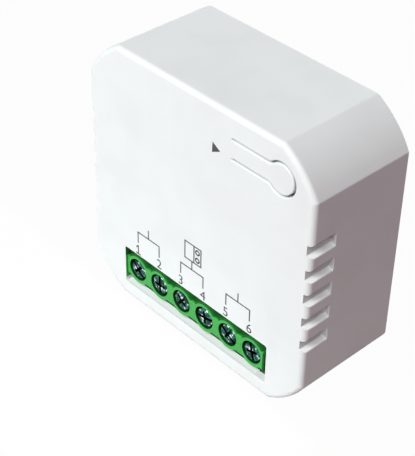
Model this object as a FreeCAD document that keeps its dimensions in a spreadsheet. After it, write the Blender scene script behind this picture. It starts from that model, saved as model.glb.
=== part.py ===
import FreeCAD, Part
import math
import os
import Sketcher

# A flush-box garage door controller: a rounded square casing with a screw terminal block, a sprung
# button tongue and side grooves, and the circuit board that they serve.
# Millimetres. The module stands on its bottom wall with its front towards -Y and +Z up. The origin is
# the middle of the footprint.

SIZES = {
    # casing
    "case_width": 45.5,
    "case_height": 45.0,
    "case_depth": 18.5,
    "corner_margin": 1.21,
    "corner_bulge": 0.65,
    "crease_round": 0.5,
    "front_round": 0.8,
    "back_bevel": 0.3,
    "side_wall": 1.5,
    "face_wall": 1.2,
    # openings for the terminal block
    "window_overlap": 0.39,
    "window_shift": 0.13,
    "window_below": 3.53,
    "window_above": 3.46,
    "window_round": 0.35,
    "wire_window_front": 5.9,
    "wire_window_back": 0.7,
    # side grooves
    "vent_pitch": 4.15,
    "vent_above": 1.03,
    "vent_below": 0.65,
    "vent_drop": 0.35,
    "vent_depth": 0.85,
    "vent_length": 4.7,
    "vent_round_above": 0.4,
    "vent_round_below": 0.2,
    # button tongue
    "arm_length": 9.07,
    "hinge_gap": 0.03,
    "hinge_web": 0.7,
    "hinge_groove": 1.6,
    "button_drop": 5.47,
    "pad_clearance": 5.35,
    "pad_radius": 2.3,
    "arm_half_width": 1.38,
    "neck_radius": 1.1,
    "slit_width": 0.36,
    "slit_bevel": 0.12,
    "boss_radius": 1.3,
    "button_gap": 0.1,
    # casing inside
    "rib_reach": 0.8,
    "rib_width": 1.6,
    "rib_spread": 9.5,
    "block_rib_width": 0.8,
    "block_rib_margin": 0.3,
    "seat_gap": 0.1,
    "bead_reach": 0.35,
    "bead_half_width": 0.45,
    "bead_length": 8.0,
    # back cover
    "cover_thickness": 1.3,
    "cover_gap": 0.1,
    "lip_thickness": 1.0,
    # circuit board
    "board_room": 2.0,
    "board_thickness": 1.2,
    "board_gap": 0.3,
    "tail_length": 1.3,
    "hole_gap": 0.1,
    # terminal block moulding: below and above the screws' axis, and off the board
    "pole_pitch": 5.08,
    "block_offset": -0.2,
    "screw_height": 6.35,
    "block_below": 4.65,
    "block_above": 5.1,
    "block_shoulder": 10.6,
    "block_round": 0.3,
    "collar_top": 13.7,
    "collar_radius": 2.65,
    "neck_below": 2.0,
    "neck_above": 1.5,
    "collar_bevel": 0.15,
    "screw_hole_radius": 1.92,
    "chamber_top": 9.6,
    "chamber_half_width": 2.05,
    "chamber_below": 3.1,
    "chamber_above": 3.85,
    "mouth_half_width": 2.1,
    "mouth_front": 5.45,
    "mouth_back": 1.15,
    # terminal metalwork, placed in the same way
    "head_top": 13.6,
    "head_height": 1.7,
    "head_radius": 1.65,
    "shank_radius": 1.25,
    "slot_width": 0.55,
    "slot_depth": 0.8,
    "cross_length": 2.3,
    "thread_gap": 0.05,
    "plate_top": 5.9,
    "plate_thickness": 0.8,
    "plate_half_width": 1.2,
    "plate_below": 2.6,
    "plate_leg_above": 2.85,
    "pin_half_width": 0.4,
    "cage_half_width": 1.95,
    "cage_half_height": 2.0,
    "cage_wall": 0.55,
    "cage_top": 7.1,
    "cage_top_wall": 1.0,
    "cage_bottom_wall": 0.8,
    "cage_length": 6.0,
    "cage_bevel": 0.3,
    # push switch
    "switch_offset": 1.3,
    "switch_drop": 0.43,
    "switch_base": 4.5,
    "switch_base_depth": 3.0,
    "switch_cover_depth": 0.3,
    "switch_leg_spread": 1.5,
    "switch_leg_half": 0.25,
    "stem_radius": 1.1,
    "stem_gap": 0.06,
    "stem_foot_radius": 1.6,
    "stem_foot_depth": 0.6,
    "switch_travel": 0.25,
    "stem_foot_gap": 0.2,
    "tongue_boss": 0.7,
    # indicator lamp
    "lamp_offset": 3.5,
    "lamp_radius": 1.5,
    "lamp_flange_radius": 1.7,
    "lamp_flange": 0.8,
    "lamp_nose_radius": 0.8,
    "lamp_nose": 0.9,
    "lamp_length": 4.0,
    "lamp_top": 2.6,
    "lamp_pitch": 1.27,
    "lamp_leg_half": 0.22,
    # relay
    "relay_length": 18.0,
    "relay_width": 10.0,
    "relay_room": 0.7,
    "relay_base_depth": 1.6,
    "relay_wall": 0.8,
    "relay_bevel": 0.4,
    "relay_case_stand": 0.2,
    "relay_pin_inset": 1.5,
    "relay_pin_half": 0.35,
    # transformer
    "core_width": 9.4,
    "core_length": 9.4,
    "core_depth": 4.6,
    "core_leg": 2.0,
    "bobbin_width": 8.0,
    "bobbin_length": 11.6,
    "bobbin_depth": 9.4,
    "bobbin_flange": 0.8,
    "winding_radius": 2.6,
    "winding_margin": 0.8,
    "winding_post_radius": 1.6,
    "transformer_pin_pitch": 2.5,
    "transformer_pin_half": 0.3,
    # capacitors
    "bulk_radius": 4.0,
    "bulk_room": 1.5,
    "bung_length": 1.1,
    "bung_inset": 0.35,
    "lead_half": 0.28,
    "bulk_lead_pitch": 3.5,
    "output_radius": 2.9,
    "output_length": 7.0,
    "output_lead_pitch": 2.5,
    # mains input parts
    "resistor_radius": 1.7,
    "resistor_length": 9.0,
    "varistor_radius": 3.5,
    "varistor_thickness": 3.2,
    "varistor_lead_pitch": 5.0,
    "varistor_stand": 1.4,
    "choke_radius": 2.9,
    "choke_flange": 0.9,
    "choke_length": 7.2,
    "choke_post_radius": 1.4,
    "choke_winding_radius": 2.5,
    "choke_lead_pitch": 2.8,
    # surface parts
    "bridge_width": 4.6,
    "bridge_length": 4.0,
    "bridge_depth": 2.4,
    "bridge_pitch": 2.54,
    "chip_width": 4.9,
    "chip_length": 3.9,
    "chip_depth": 1.5,
    "chip_pitch": 1.27,
    "leg_width": 0.42,
    "leg_reach": 1.0,
    "leg_thickness": 0.25,
    "regulator_side": 2.6,
    "regulator_width": 6.4,
    "regulator_length": 3.0,
    "regulator_depth": 1.6,
    "regulator_pitch": 2.3,
    "package_bevel": 0.3,
    # radio module
    "radio_length": 18.0,
    "radio_width": 11.0,
    "radio_board_depth": 0.8,
    "shield_length": 11.6,
    "shield_margin": 0.9,
    "shield_depth": 2.0,
    "shield_wall": 0.25,
    "shield_bevel": 0.3,
    "aerial_width": 0.5,
    "aerial_pitch": 1.25,
    "aerial_depth": 0.1,
}

POLES = 6
VENTS = 5
SLOT_TURN = 137.5
CHIP_LEGS = 4
AERIAL_BARS = 4
TOUCH = 1e-4
CORNER_SHARE = 2 - math.sqrt(2)

document = FreeCAD.newDocument("door_controller")
sheet = document.addObject("Spreadsheet::Sheet", "Sizes")
for row, (alias, number) in enumerate(SIZES.items(), start=1):
    sheet.set(f"A{row}", alias)
    sheet.set(f"B{row}", str(number))
    sheet.setAlias(f"B{row}", alias)
document.recompute()


class Dimension:
    """A length that knows both its value and the sheet expression that gives it."""

    def __init__(self, value, text):
        self.value = value
        self.text = text

    def __add__(self, other):
        other = dimension(other)
        return Dimension(self.value + other.value, f"({self.text} + {other.text})")

    def __sub__(self, other):
        other = dimension(other)
        return Dimension(self.value - other.value, f"({self.text} - {other.text})")

    def __mul__(self, other):
        other = dimension(other)
        return Dimension(self.value * other.value, f"({self.text} * {other.text})")

    def __truediv__(self, other):
        other = dimension(other)
        return Dimension(self.value / other.value, f"({self.text} / {other.text})")

    def __radd__(self, other):
        return dimension(other) + self

    def __rsub__(self, other):
        return dimension(other) - self

    def __rmul__(self, other):
        return dimension(other) * self

    def __neg__(self):
        return dimension(0) - self

    def root(self):
        return Dimension(math.sqrt(self.value), f"sqrt({self.text})")


def dimension(number):
    """A plain number as a dimension that no cell drives."""
    if isinstance(number, Dimension):
        return number
    return Dimension(float(number), repr(float(number)))


class Sheet:
    """Reads the spreadsheet's cells by name, as dimensions."""

    def __getattr__(self, alias):
        return Dimension(float(sheet.get(alias)), f"Sizes.{alias}")


size = Sheet()
pieces = []

half_width = size.case_width / 2
front = -size.case_depth / 2
back = size.case_depth / 2
top = size.case_height
block_half = size.pole_pitch * POLES / 2
corner_cut = half_width - block_half - size.corner_margin


def depth(distance):
    """The Y place of a point that lies this far behind the front face."""
    return front + distance


def new_body(label):
    """An empty piece, which may hold several like solids."""
    body = document.addObject("PartDesign::Body", label)
    body.Label = label
    body.AllowCompound = True
    pieces.append(body)
    return body


PLANES = {"XY": ("XY_Plane", 1), "XZ": ("XZ_Plane", -1), "YZ": ("YZ_Plane", 1)}


def new_sketch(body, plane, level):
    """A sketch on one of the body's own origin planes, moved along the axis square to it."""
    role, facing = PLANES[plane]
    sketch = body.newObject("Sketcher::SketchObject", f"{body.Name}_sketch")
    support = next(item for item in body.Origin.OriginFeatures if item.Role == role)
    sketch.AttachmentSupport = [(support, "")]
    sketch.MapMode = "FlatFace"
    offset = dimension(level) * facing
    sketch.AttachmentOffset = FreeCAD.Placement(FreeCAD.Vector(0, 0, offset.value), FreeCAD.Rotation())
    sketch.setExpression("AttachmentOffset.Base.z", offset.text)
    return sketch


def fix(sketch, constraints):
    """Adds the constraints, given as (constraint, dimension) pairs, and ties them to the sheet."""
    first = sketch.ConstraintCount
    sketch.addConstraint([constraint for constraint, driver in constraints])
    for number, (constraint, driver) in enumerate(constraints):
        if driver is not None:
            sketch.setExpression(f"Constraints[{first + number}]", driver.text)


def arc_between(start, stop, radius, turn):
    """The shorter arc of a radius from one point to another: turn 1 bends left, -1 right."""
    chord = stop - start
    half = chord.Length / 2
    rise = radius - math.sqrt(max(radius * radius - half * half, 0))
    outward = FreeCAD.Vector(chord.y, -chord.x, 0).normalize() * (rise * turn)
    return Part.Arc(start, (start + stop) * 0.5 + outward, stop)


def draw_loop(sketch, corners):
    """A closed outline. A corner is (x, y), or (x, y, radius, turn) where an arc leaves it."""
    corners = [tuple(dimension(part) for part in corner[:3]) + tuple(corner[3:]) for corner in corners]
    points = [FreeCAD.Vector(corner[0].value, corner[1].value, 0) for corner in corners]
    constraints = []
    ends = []
    for number, corner in enumerate(corners):
        start = points[number]
        stop = points[(number + 1) % len(points)]
        if len(corner) == 2:
            index = sketch.addGeometry(Part.LineSegment(start, stop), False)
            ends.append((index, 1, 2))
            continue
        radius, turn = corner[2:]
        index = sketch.addGeometry(arc_between(start, stop, radius.value, turn), False)
        ends.append((index, 1, 2) if turn > 0 else (index, 2, 1))
        constraints.append((Sketcher.Constraint("Radius", index, radius.value), radius))
    for number, corner in enumerate(corners):
        index, first, last = ends[number]
        next_index, next_first = ends[(number + 1) % len(ends)][:2]
        x, y = corner[:2]
        constraints.append((Sketcher.Constraint("Coincident", index, last, next_index, next_first), None))
        constraints.append((Sketcher.Constraint("DistanceX", index, first, x.value), x))
        constraints.append((Sketcher.Constraint("DistanceY", index, first, y.value), y))
    fix(sketch, constraints)


def draw_circle(sketch, x, y, radius):
    """A full circle."""
    x, y, radius = dimension(x), dimension(y), dimension(radius)
    centre = FreeCAD.Vector(x.value, y.value, 0)
    index = sketch.addGeometry(Part.Circle(centre, FreeCAD.Vector(0, 0, 1), radius.value), False)
    fix(sketch, [
        (Sketcher.Constraint("Radius", index, radius.value), radius),
        (Sketcher.Constraint("DistanceX", index, 3, x.value), x),
        (Sketcher.Constraint("DistanceY", index, 3, y.value), y),
    ])


def draw(sketch, loops):
    """Draws outlines, given as lists of corners, and circles, given as (x, y, radius)."""
    for loop in loops:
        if isinstance(loop, tuple):
            draw_circle(sketch, *loop)
        else:
            draw_loop(sketch, loop)


def volume(body):
    return body.Shape.Volume if not body.Shape.isNull() else 0.0


def check_change(body, before, adds):
    """Stops the build where a feature pointed away from the solid or left it as it was."""
    document.recompute()
    change = volume(body) - before
    if (change > 0) != adds or abs(change) < TOUCH:
        raise RuntimeError(f"{body.Tip.Name} of {body.Label} changed the volume by {change}")


def pad(body, plane, low, high, *loops):
    """Adds the outlines, pulled from one level to another along the axis square to the plane."""
    before = volume(body)
    sketch = new_sketch(body, plane, low if PLANES[plane][1] > 0 else high)
    draw(sketch, loops)
    feature = body.newObject("PartDesign::Pad", f"{body.Name}_pad")
    feature.Profile = sketch
    feature.setExpression("Length", (dimension(high) - low).text)
    check_change(body, before, True)


def pocket(body, plane, low, high, *loops):
    """Cuts the outlines from one level to another along the axis square to the plane."""
    before = volume(body)
    sketch = new_sketch(body, plane, high if PLANES[plane][1] > 0 else low)
    draw(sketch, loops)
    feature = body.newObject("PartDesign::Pocket", f"{body.Name}_pocket")
    feature.Profile = sketch
    feature.setExpression("Length", (dimension(high) - low).text)
    check_change(body, before, False)


def revolve(body, plane, *loops):
    """Adds the outlines turned once about the sketch's own upright axis."""
    before = volume(body)
    sketch = new_sketch(body, plane, 0)
    draw(sketch, loops)
    feature = body.newObject("PartDesign::Revolution", f"{body.Name}_turned")
    feature.Profile = sketch
    feature.ReferenceAxis = (sketch, ["V_Axis"])
    feature.Angle = 360
    check_change(body, before, True)


def soften(body, kind, amount, wanted):
    """Rounds ("Fillet") or bevels ("Chamfer") the edges of the last feature that `wanted` picks."""
    before = volume(body)
    base = body.Tip
    names = [f"Edge{number}" for number, edge in enumerate(base.Shape.Edges, start=1) if wanted(edge)]
    if not names:
        raise RuntimeError(f"no edge of {body.Label} to soften")
    feature = body.newObject(f"PartDesign::{kind}", f"{body.Name}_{kind.lower()}")
    feature.Base = (base, names)
    feature.setExpression("Radius" if kind == "Fillet" else "Size", amount.text)
    document.recompute()
    if abs(volume(body) - before) < TOUCH:
        raise RuntimeError(f"{feature.Name} left {body.Label} as it was")


def place(body, x, y, z):
    """Ties the body's Placement to the sheet."""
    for axis, distance in (("x", x), ("y", y), ("z", z)):
        distance = dimension(distance)
        setattr(body.Placement.Base, axis, distance.value)
        body.setExpression(f"Placement.Base.{axis}", distance.text)


def lies_at(edge, axis, level):
    """True where the whole edge has this coordinate."""
    box = edge.BoundBox
    low = getattr(box, f"{axis.upper()}Min")
    high = getattr(box, f"{axis.upper()}Max")
    level = dimension(level).value
    return abs(low - level) < TOUCH and abs(high - level) < TOUCH


def within(edge, axis, low, high):
    """True where the whole edge lies between two coordinates."""
    box = edge.BoundBox
    return (
        getattr(box, f"{axis.upper()}Min") > dimension(low).value - TOUCH
        and getattr(box, f"{axis.upper()}Max") < dimension(high).value + TOUCH
    )


def runs_along(edge, axis):
    """True for a straight edge parallel to the axis."""
    if len(edge.Vertexes) < 2:
        return False
    span = edge.Vertexes[1].Point - edge.Vertexes[0].Point
    return abs(abs(getattr(span, axis)) - span.Length) < TOUCH


def rectangle(left, right, low, high):
    return [(left, low), (right, low), (right, high), (left, high)]


def rounded_rectangle(left, right, low, high, radius):
    return [
        (left + radius, low), (right - radius, low, radius, 1),
        (right, low + radius), (right, high - radius, radius, 1),
        (right - radius, high), (left + radius, high, radius, 1),
        (left, high - radius), (left, low + radius, radius, 1),
    ]


def centred(x, y, half_x, half_y):
    """A rectangle about its middle."""
    return rectangle(x - half_x, x + half_x, y - half_y, y + half_y)


def case_outline(inset):
    """The casing's square outline with its flattened corner arcs, drawn in by an inset."""
    inset = dimension(inset)
    side = half_width - inset
    low = inset
    high = top - inset
    cut = corner_cut - inset * CORNER_SHARE
    bulge = size.corner_bulge
    radius = (cut * cut / 2 + bulge * bulge) / (bulge * 2)
    return [
        (side - cut, low, radius, 1), (side, low + cut),
        (side, high - cut, radius, 1), (side - cut, high),
        (cut - side, high, radius, 1), (-side, high - cut),
        (-side, low + cut, radius, 1), (cut - side, low),
    ]


def pole_place(pole):
    """X place of a terminal pole, counted from the left."""
    return size.block_offset + size.pole_pitch * (pole - (POLES - 1) / 2)


# Front shell: one moulding with the front face, the four walls and the corner arcs.

cover_inner = back - size.cover_thickness
board_rear = cover_inner - size.board_room
board_face = board_rear - size.board_thickness
face_inner = depth(size.face_wall)
cavity_half = half_width - size.side_wall
window_half = block_half + size.window_overlap
window_left = size.window_shift - window_half
window_right = size.window_shift + window_half
window_low = size.screw_height - size.window_below
window_high = size.screw_height + size.window_above
bead_middle = (board_rear + cover_inner) / 2
button_height = top - size.button_drop
pad_place = half_width - corner_cut + size.button_drop - size.pad_clearance
hinge_place = pad_place - size.arm_length


def off_board(distance):
    """The Y place of a point that stands this far in front of the board."""
    return board_face - distance


def keyhole(arm_half, radius, neck, root):
    """The tongue's outline from its root along the arm, round the pad and back."""
    reach = ((radius + neck) * (radius + neck) - (arm_half + neck) * (arm_half + neck)).root()
    share = radius / (radius + neck)
    centre = pad_place
    level = button_height
    rise = (arm_half + neck) * share
    return [
        (root, level - arm_half),
        (centre - reach, level - arm_half, neck, -1),
        (centre - reach * share, level - rise, radius, 1),
        (centre + radius, level, radius, 1),
        (centre - reach * share, level + rise, neck, -1),
        (centre - reach, level + arm_half),
        (root, level + arm_half),
    ]


def tongue_hole():
    """The keyhole that the tongue lies in, with the two rounded ends of the slit beside its root."""
    slit = size.slit_width
    arm_half = size.arm_half_width
    root = hinge_place
    level = button_height
    end = slit / 2
    outline = keyhole(arm_half + slit, size.pad_radius + slit, size.neck_radius - slit, root)
    outline[-1] = (root, level + arm_half + slit, end, 1)
    return outline + [
        (root - end, level + arm_half + end, end, 1),
        (root, level + arm_half),
        (root, level - arm_half, end, 1),
        (root - end, level - arm_half - end, end, 1),
    ]


def is_slit_edge(edge):
    """True for an edge round the tongue on the front face, apart from the line at its root."""
    slit = size.slit_width
    half = size.pad_radius + slit
    return (
        lies_at(edge, "y", front)
        and within(edge, "x", hinge_place - slit, pad_place + half)
        and within(edge, "z", button_height - half, button_height + half)
        and not runs_along(edge, "z")
    )


def vent_groove(side, middle):
    """One groove of a side wall: a level roof, and a floor that slopes down to the side."""
    above = size.vent_round_above
    below = size.vent_round_below
    roof = middle + size.vent_above
    inner = half_width - size.vent_depth
    inner_low = middle - size.vent_below
    slope = size.vent_drop / size.vent_depth
    stretch = (1 + slope * slope).root()
    floor_end = half_width - below + below * slope / stretch
    floor_low = inner_low - (floor_end - inner) * slope
    outer_low = floor_low - below / stretch
    outline = [
        (half_width + above, roof + above),
        (half_width, roof + above, above, -1),
        (half_width - above, roof),
        (inner, roof),
        (inner, inner_low),
        (floor_end, floor_low, below, -1),
        (half_width, outer_low),
        (half_width + above, outer_low),
    ]
    if side > 0:
        return outline
    return [(-corner[0],) + corner[1:3] + tuple(-turn for turn in corner[3:]) for corner in outline]


def bead_profile(wall, out, grow):
    """The snap bead's wedge, or with `grow` its slightly larger recess, off a wall facing `out`."""
    half = size.bead_half_width + grow
    return [
        (wall, bead_middle - half),
        (wall + out * (size.bead_reach + grow), bead_middle),
        (wall, bead_middle + half),
    ]


def add_beads(body, cut, inset, grow):
    """The four snap beads, one on each side, or the recesses that they click into."""
    feature = pocket if cut else pad
    half = size.bead_length / 2 + grow
    middle = top / 2
    side = half_width - inset
    for out in (-1, 1):
        feature(body, "XY", middle - half, middle + half, bead_profile(side * out, out, grow))
        wall = middle + out * (middle - inset)
        profile = [(level, height) for height, level in bead_profile(wall, out, grow)]
        feature(body, "YZ", -half, half, profile)


front_shell = new_body("front_shell")
pad(front_shell, "XZ", front, back, case_outline(0))
soften(front_shell, "Fillet", size.crease_round, lambda edge: runs_along(edge, "y"))
soften(front_shell, "Fillet", size.front_round, lambda edge: lies_at(edge, "y", front))
soften(front_shell, "Chamfer", size.back_bevel, lambda edge: lies_at(edge, "y", back))
pocket(front_shell, "XZ", face_inner, back, case_outline(size.side_wall))
pocket(front_shell, "XZ", front, face_inner, rounded_rectangle(
    window_left, window_right, window_low, window_high, size.window_round))
pocket(front_shell, "XY", 0, size.side_wall, rectangle(
    window_left, window_right, off_board(size.wire_window_front), off_board(size.wire_window_back)))
pocket(front_shell, "XZ", front, depth(size.vent_length), *[
    vent_groove(side, top / 2 + size.vent_pitch * (number - (VENTS - 1) / 2))
    for side in (-1, 1) for number in range(VENTS)])
pocket(front_shell, "XZ", front, face_inner, tongue_hole())
soften(front_shell, "Chamfer", size.slit_bevel, is_slit_edge)
add_beads(front_shell, True, size.side_wall, size.cover_gap)

# ribs off the side walls that the board rests on, and a rib that holds the terminal block's shoulder
rib_tip = cavity_half - size.rib_reach
pad(front_shell, "XZ", face_inner, off_board(size.seat_gap), *[
    centred(side * (cavity_half + rib_tip) / 2, top / 2 + rise * size.rib_spread,
            size.rib_reach / 2, size.rib_width / 2)
    for side in (-1, 1) for rise in (-1, 1)])
block_rib_low = window_high + size.block_rib_margin
pad(front_shell, "XZ", face_inner, off_board(size.block_shoulder) - size.seat_gap,
    rectangle(-window_half, window_half, block_rib_low, block_rib_low + size.block_rib_width))


# Button tongue: the sprung keyhole pad, thinned at its root, with the boss that meets the switch.

tongue_root = hinge_place + size.hinge_gap
boss_end = face_inner + size.tongue_boss
switch_side = pad_place - size.switch_offset
switch_height = button_height - size.switch_drop

button_tongue = new_body("button_tongue")
pad(button_tongue, "XZ", front, face_inner,
    keyhole(size.arm_half_width, size.pad_radius, size.neck_radius, tongue_root))
soften(button_tongue, "Chamfer", size.slit_bevel, is_slit_edge)
pad(button_tongue, "XZ", face_inner, boss_end, (switch_side, switch_height, size.boss_radius))
pocket(button_tongue, "XZ", depth(size.hinge_web), face_inner, rectangle(
    tongue_root, tongue_root + size.hinge_groove,
    button_height - size.arm_half_width, button_height + size.arm_half_width))


# Back cover: a plate inside the shell's rim with a lip that presses on the board and snap beads.

cover_inset = size.side_wall + size.cover_gap
back_cover = new_body("back_cover")
pad(back_cover, "XZ", cover_inner, back, case_outline(cover_inset))
pad(back_cover, "XZ", board_rear + size.seat_gap, cover_inner,
    case_outline(cover_inset), case_outline(cover_inset + size.lip_thickness))
add_beads(back_cover, False, cover_inset, 0)


# Every lead that passes the board, as (x, z, half width). Leads and their holes are square, which
# keeps the faces few.

leads = []
tail_end = board_rear + size.tail_length


def lead(x, z, half):
    """Notes a lead for the board's holes and gives back its own outline."""
    leads.append((x, z, half))
    return centred(x, z, half, half)


# Terminal block moulding: a bar with a scalloped ridge of six collars over the screws.

def collar_ridge():
    """The wave outline round the six collars."""
    radius = size.collar_radius
    outline = []
    sides = ((-size.neck_below, range(POLES), 1), (size.neck_above, reversed(range(POLES)), -1))
    for rise, poles, out in sides:
        level = size.screw_height + rise
        half = (radius * radius - rise * rise).root()
        outline.append((size.block_offset - block_half * out, level))
        for pole in poles:
            outline.append((pole_place(pole) - half * out, level, radius, 1))
            outline.append((pole_place(pole) + half * out, level))
        outline.append((size.block_offset + block_half * out, level))
    return outline


ridge_top = off_board(size.collar_top)
shoulder = off_board(size.block_shoulder)
seat = off_board(size.seat_gap)
block_low = size.screw_height - size.block_below
block_high = size.screw_height + size.block_above
chamber_low = size.screw_height - size.chamber_below
chamber_high = size.screw_height + size.chamber_above
poles = [pole_place(pole) for pole in range(POLES)]

terminal_housing = new_body("terminal_housing")
pad(terminal_housing, "XZ", shoulder, seat, rectangle(
    size.block_offset - block_half, size.block_offset + block_half, block_low, block_high))
soften(terminal_housing, "Chamfer", size.block_round,
       lambda edge: lies_at(edge, "y", shoulder) and runs_along(edge, "x"))
pad(terminal_housing, "XZ", ridge_top, shoulder, collar_ridge())
soften(terminal_housing, "Chamfer", size.collar_bevel, lambda edge: lies_at(edge, "y", ridge_top))
pocket(terminal_housing, "XZ", ridge_top, off_board(size.chamber_top), *[
    (x, size.screw_height, size.screw_hole_radius) for x in poles])
pocket(terminal_housing, "XZ", off_board(size.chamber_top), seat, *[
    rectangle(x - size.chamber_half_width, x + size.chamber_half_width, chamber_low, chamber_high)
    for x in poles])
pocket(terminal_housing, "XY", block_low, chamber_low, *[
    rectangle(x - size.mouth_half_width, x + size.mouth_half_width,
              off_board(size.mouth_front), off_board(size.mouth_back))
    for x in poles])


# Contact plates: one angle per pole, which the wire is clamped against and which ends in a board pin.

plate_top = off_board(size.plate_top)
plate_low = size.screw_height - size.plate_below
leg_low = size.screw_height + size.plate_leg_above
plate_high = leg_low + size.plate_thickness
pin_middle = leg_low + size.plate_thickness / 2
contact_plates = new_body("contact_plates")
pad(contact_plates, "XZ", plate_top, plate_top + size.plate_thickness, *[
    rectangle(x - size.plate_half_width, x + size.plate_half_width, plate_low, plate_high)
    for x in poles])
pad(contact_plates, "XZ", plate_top + size.plate_thickness, seat, *[
    rectangle(x - size.plate_half_width, x + size.plate_half_width, leg_low, plate_high)
    for x in poles])
pad(contact_plates, "XZ", seat, tail_end, *[
    lead(x, pin_middle, size.pin_half_width) for x in poles])


# Clamp screws and the rising cages that they lift, one of each in every pole.

head_top = off_board(size.head_top)
head_bottom = head_top + size.head_height
screw_tip = plate_top - size.seat_gap
cage_top = off_board(size.cage_top)
cage_window = cage_top + size.cage_top_wall
cage_bottom = cage_top + size.cage_length


def clamp_screw(pole):
    """A slotted and crossed cheese-head screw, turned about the pole's axis."""
    screw = new_body(f"terminal_screw_{pole + 1}")
    revolve(screw, "XY", [
        (0, head_top),
        (size.head_radius, head_top),
        (size.head_radius, head_bottom),
        (size.shank_radius, head_bottom),
        (size.shank_radius, screw_tip),
        (0, screw_tip),
    ])
    half = size.slot_width / 2
    pocket(screw, "XZ", head_top, head_top + size.slot_depth,
           rectangle(-size.head_radius, size.head_radius, -half, half))
    pocket(screw, "XZ", head_top, head_top + size.slot_depth,
           rectangle(-half, half, -size.cross_length / 2, size.cross_length / 2))
    screw.Placement.Rotation = FreeCAD.Rotation(FreeCAD.Vector(0, 1, 0), SLOT_TURN * (pole + 1))
    place(screw, pole_place(pole), 0, size.screw_height)


def clamp_cage(pole):
    """The box that the screw draws towards its head: threaded top, and a window for plate and wire."""
    cage = new_body(f"clamp_cage_{pole + 1}")
    wide = size.cage_half_width
    tall = size.cage_half_height
    pad(cage, "XY", -tall, tall, rectangle(-wide, wide, cage_top, cage_bottom))
    soften(cage, "Chamfer", size.cage_bevel, lambda edge: runs_along(edge, "z"))
    pocket(cage, "XY", -tall, tall, rectangle(
        size.cage_wall - wide, wide - size.cage_wall, cage_window, cage_bottom - size.cage_bottom_wall))
    pocket(cage, "XZ", cage_top, cage_window, (0, 0, size.shank_radius + size.thread_gap))
    place(cage, pole_place(pole), 0, size.screw_height)


for pole in range(POLES):
    clamp_screw(pole)
for pole in range(POLES):
    clamp_cage(pole)


# Layout of the board: rows and columns of parts, spread evenly over the room that each has.

def spread(room, *widths):
    """The gap that sets parts of these widths evenly in a room, with the same gap at both ends."""
    for width in widths:
        room = room - width
    return room / (len(widths) + 1)


ceiling = top - size.side_wall
switch_half = size.switch_base / 2
bulk_width = size.bulk_radius * 2
chip_tall = size.chip_length + size.leg_reach * 2
wide_gap = spread(rib_tip * 2, bulk_width, size.chip_width, size.bridge_width, size.relay_length)
tall_gap = spread(switch_height - switch_half - block_high, size.relay_width, size.radio_width)
left_gap = spread(ceiling - block_high, size.varistor_thickness, bulk_width, bulk_width, size.choke_radius * 2)
inner_gap = spread(ceiling - block_high, size.resistor_radius * 2, chip_tall, size.bobbin_length,
                   size.output_radius * 2)

row_right = rib_tip - wide_gap
bulk_side = wide_gap + size.bulk_radius - rib_tip
chip_side = bulk_side + size.bulk_radius + wide_gap + size.chip_width / 2
bridge_side = chip_side + size.chip_width / 2 + wide_gap + size.bridge_width / 2
transformer_side = (bulk_side + size.bulk_radius + row_right - size.radio_length) / 2
choke_side = bulk_side + size.bulk_radius - size.choke_radius
lamp_side = hinge_place + size.lamp_offset

varistor_height = block_high + left_gap + size.varistor_thickness / 2
bulk_low = varistor_height + size.varistor_thickness / 2 + left_gap + size.bulk_radius
bulk_high = bulk_low + bulk_width + left_gap
choke_height = ceiling - left_gap - size.choke_radius
resistor_height = block_high + inner_gap + size.resistor_radius
chip_height = resistor_height + size.resistor_radius + inner_gap + chip_tall / 2
transformer_middle = chip_height + chip_tall / 2 + inner_gap + size.bobbin_length / 2
output_height = ceiling - inner_gap - size.output_radius


# Push switch under the pad: a square base, its metal cover, four legs and a tall stem.

switch_top = board_face - size.switch_base_depth
cover_top = switch_top - size.switch_cover_depth
foot_top = switch_top + size.stem_foot_gap
foot_bottom = foot_top + size.stem_foot_depth
well_bottom = foot_bottom + size.switch_travel + size.seat_gap
stem_end = boss_end + size.button_gap
stem_hole = size.stem_radius + size.stem_gap

switch_base = new_body("switch_base")
pad(switch_base, "XZ", switch_top, seat,
    centred(switch_side, switch_height, switch_half, switch_half))
soften(switch_base, "Chamfer", size.package_bevel, lambda edge: runs_along(edge, "y"))
pocket(switch_base, "XZ", switch_top, well_bottom,
       (switch_side, switch_height, size.stem_foot_radius + size.stem_gap))

switch_cover = new_body("switch_cover")
pad(switch_cover, "XZ", cover_top, switch_top,
    centred(switch_side, switch_height, switch_half, switch_half))
soften(switch_cover, "Chamfer", size.package_bevel, lambda edge: runs_along(edge, "y"))
pocket(switch_cover, "XZ", cover_top, switch_top, (switch_side, switch_height, stem_hole))

switch_stem = new_body("switch_stem")
pad(switch_stem, "XZ", stem_end, foot_top, (switch_side, switch_height, size.stem_radius))
pad(switch_stem, "XZ", foot_top, foot_bottom,
    (switch_side, switch_height, size.stem_foot_radius))

switch_legs = new_body("switch_legs")
pad(switch_legs, "XZ", seat, tail_end, *[
    lead(switch_side + side * size.switch_leg_spread,
         switch_height + rise * size.switch_leg_spread, size.switch_leg_half)
    for side in (-1, 1) for rise in (-1, 1)])


# Indicator lamp: a blunt-nosed diode that stands on its legs behind the tongue's arm.

lamp_top = depth(size.lamp_top)
lamp_bottom = lamp_top + size.lamp_length
lamp_shoulder = lamp_top + size.lamp_nose
indicator_lamp = new_body("indicator_lamp")
revolve(indicator_lamp, "XY", [
    (0, lamp_bottom),
    (0, lamp_top),
    (size.lamp_nose_radius, lamp_top),
    (size.lamp_radius, lamp_shoulder),
    (size.lamp_radius, lamp_bottom - size.lamp_flange),
    (size.lamp_flange_radius, lamp_bottom - size.lamp_flange),
    (size.lamp_flange_radius, lamp_bottom),
])
place(indicator_lamp, lamp_side, 0, button_height)

lamp_legs = new_body("lamp_legs")
pad(lamp_legs, "XZ", lamp_bottom, tail_end, *[
    lead(lamp_side + side * size.lamp_pitch, button_height, size.lamp_leg_half)
    for side in (-1, 1)])


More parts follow.
